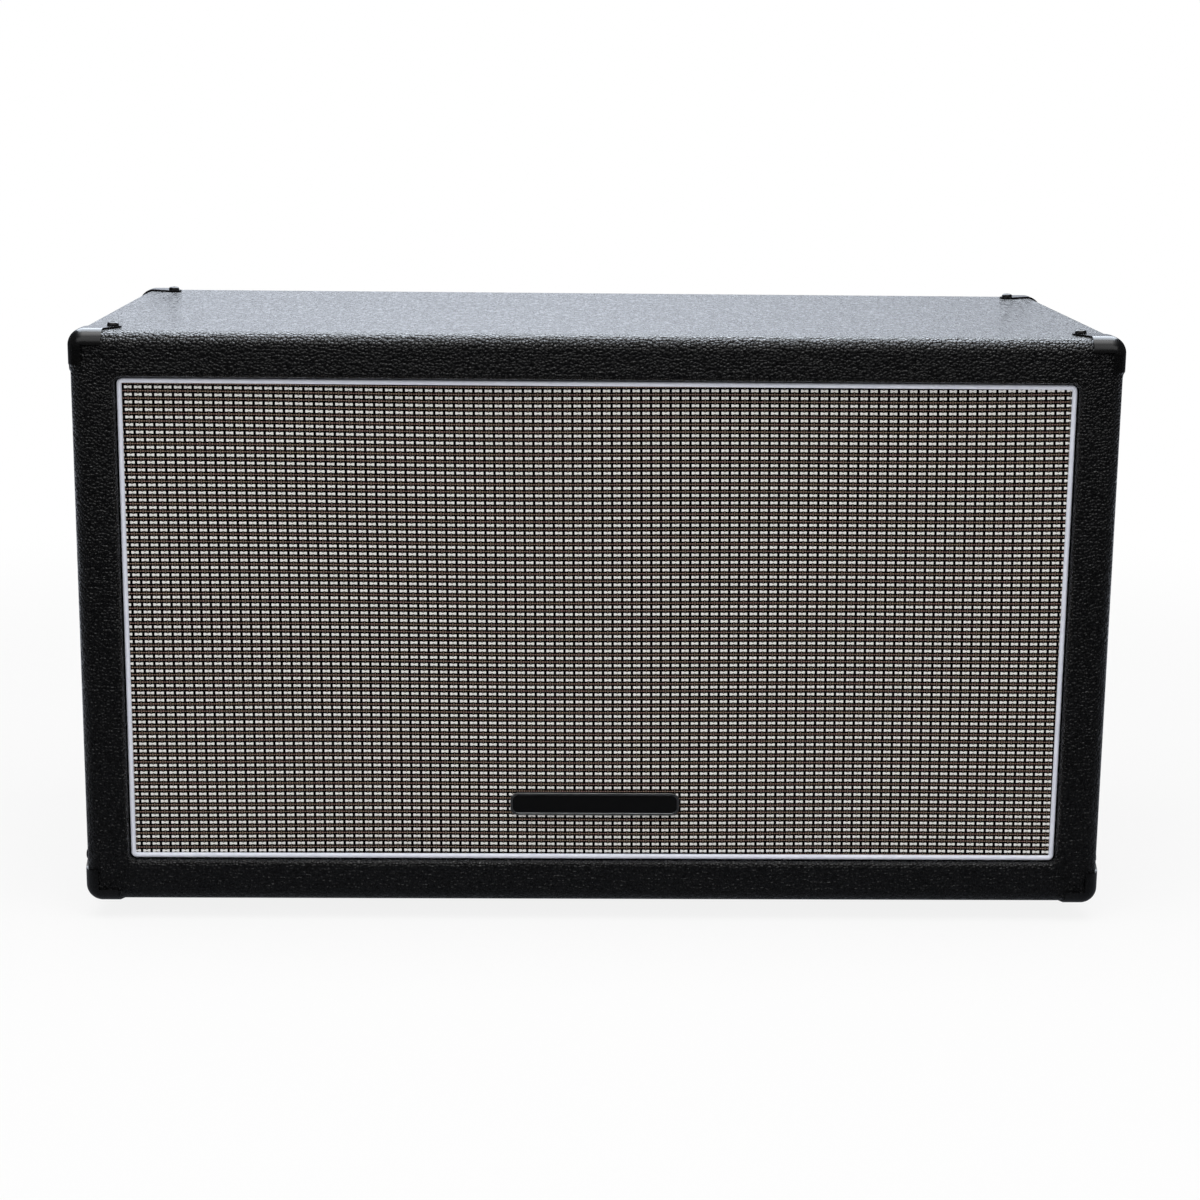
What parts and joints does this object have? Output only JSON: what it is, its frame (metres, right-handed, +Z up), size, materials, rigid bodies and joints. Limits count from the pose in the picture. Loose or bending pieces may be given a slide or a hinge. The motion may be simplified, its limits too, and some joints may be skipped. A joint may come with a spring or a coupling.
{
  "type": "guitar speaker cabinet",
  "caption": "Closed-back guitar speaker cabinet in grained black vinyl with a woven grille cloth, white piping, moulded corners, side handles and rear jacks.",
  "frame": {"origin": "on the floor, below the middle of the cabinet", "axes": "+X along the width to the viewer's right, +Y from the grille to the back panel, +Z up"},
  "size_m": [0.7716, 0.3528, 0.4451],
  "materials": {
    "birch_plywood": "raw birch plywood, hidden under the covering",
    "softwood": "planed pine",
    "black_board": "plywood with flat black paint",
    "covered_board": "plywood under the same black grained vinyl",
    "black_vinyl": "black vinyl embossed with a leather grain",
    "woven_cloth": "black and white woven grille cloth with a brown thread",
    "white_piping": "extruded white vinyl piping",
    "badge": "blank plate with a bright rim and a black field",
    "moulded_plastic": "injection-moulded black plastic",
    "black_screws": "black oxide steel",
    "zinc_screws": "zinc-plated steel",
    "rubber": "moulded black rubber",
    "black_steel": "powder-coated pressed steel",
    "jack_plastic": "black moulded nylon",
    "nickel": "nickel-plated brass",
    "knob_plastic": "black plastic",
    "lead_jacket": "black flexible vinyl jacket",
    "gasket_card": "pressed card",
    "doped_cloth": "doped cloth with pressed rolls",
    "cone_paper": "dark grey pressed paper",
    "copper_winding": "enamelled copper wire on its former",
    "spider_cloth": "resin-stiffened cloth",
    "zinc_steel": "zinc-plated turned steel",
    "ferrite": "sintered ferrite"
  },
  "bodies": {
    "cabinet": {"back_cleats": "softwood", "back_panel": "covered_board", "back_panel_screws": "black_screws", "badge_plate": "badge", "badge_push_nuts": "zinc_screws", "baffle_board": "black_board", "baffle_screws": "zinc_screws", "bottom_panel": "birch_plywood", "centre_brace": "softwood", "corner_front_bottom_left": "moulded_plastic", "corner_front_bottom_right": "moulded_plastic", "corner_front_top_left": "moulded_plastic", "corner_front_top_right": "moulded_plastic", "corner_rear_bottom_left": "moulded_plastic", "corner_rear_bottom_right": "moulded_plastic", "corner_rear_top_left": "moulded_plastic", "corner_rear_top_right": "moulded_plastic", "corner_screws": "black_screws", "foot_screws": "zinc_screws", "front_frame": "softwood", "grille_cloth": "woven_cloth", "grille_frame": "black_board", "grille_piping": "white_piping", "handle_screws": "black_screws", "jack_nuts": "nickel", "jack_plate": "black_steel", "jack_plate_screws": "black_screws", "left_handle_cup": "moulded_plastic", "left_input_jack": "jack_plastic", "left_side_panel": "birch_plywood", "left_speaker_basket": "black_steel", "left_speaker_gasket": "gasket_card", "left_speaker_magnet": "ferrite", "left_speaker_spider": "spider_cloth", "left_speaker_surround": "doped_cloth", "left_speaker_top_plate": "zinc_steel", "left_speaker_yoke": "zinc_steel", "mode_switch_body": "jack_plastic", "right_handle_cup": "moulded_plastic", "right_input_jack": "jack_plastic", "right_side_panel": "birch_plywood", "right_speaker_basket": "black_steel", "right_speaker_gasket": "gasket_card", "right_speaker_magnet": "ferrite", "right_speaker_spider": "spider_cloth", "right_speaker_surround": "doped_cloth", "right_speaker_top_plate": "zinc_steel", "right_speaker_yoke": "zinc_steel", "rubber_feet": "rubber", "speaker_leads": "lead_jacket", "speaker_screws": "zinc_screws", "top_panel": "birch_plywood", "vinyl_covering": "black_vinyl"},
    "left_cone": {"left_speaker_cone": "cone_paper", "left_speaker_dust_cap": "cone_paper", "left_speaker_voice_coil": "copper_winding"},
    "right_cone": {"right_speaker_cone": "cone_paper", "right_speaker_dust_cap": "cone_paper", "right_speaker_voice_coil": "copper_winding"},
    "mode_switch": {"mode_switch_slider": "knob_plastic"}
  },
  "joints": [
    {"name": "left_cone_travel", "type": "slide", "parent": "cabinet", "child": "left_cone", "axis": [0, 1, 0], "range_m": [-0.003, 0.003], "stiffness_N_per_m": 4500, "deforming": ["left_speaker_surround", "left_speaker_spider"]},
    {"name": "right_cone_travel", "type": "slide", "parent": "cabinet", "child": "right_cone", "axis": [0, 1, 0], "range_m": [-0.003, 0.003], "stiffness_N_per_m": 4500, "deforming": ["right_speaker_surround", "right_speaker_spider"]},
    {"name": "mode_switch_slide", "type": "slide", "parent": "cabinet", "child": "mode_switch", "axis": [1, 0, 0], "range_m": [0, 0.005]}
  ]
}
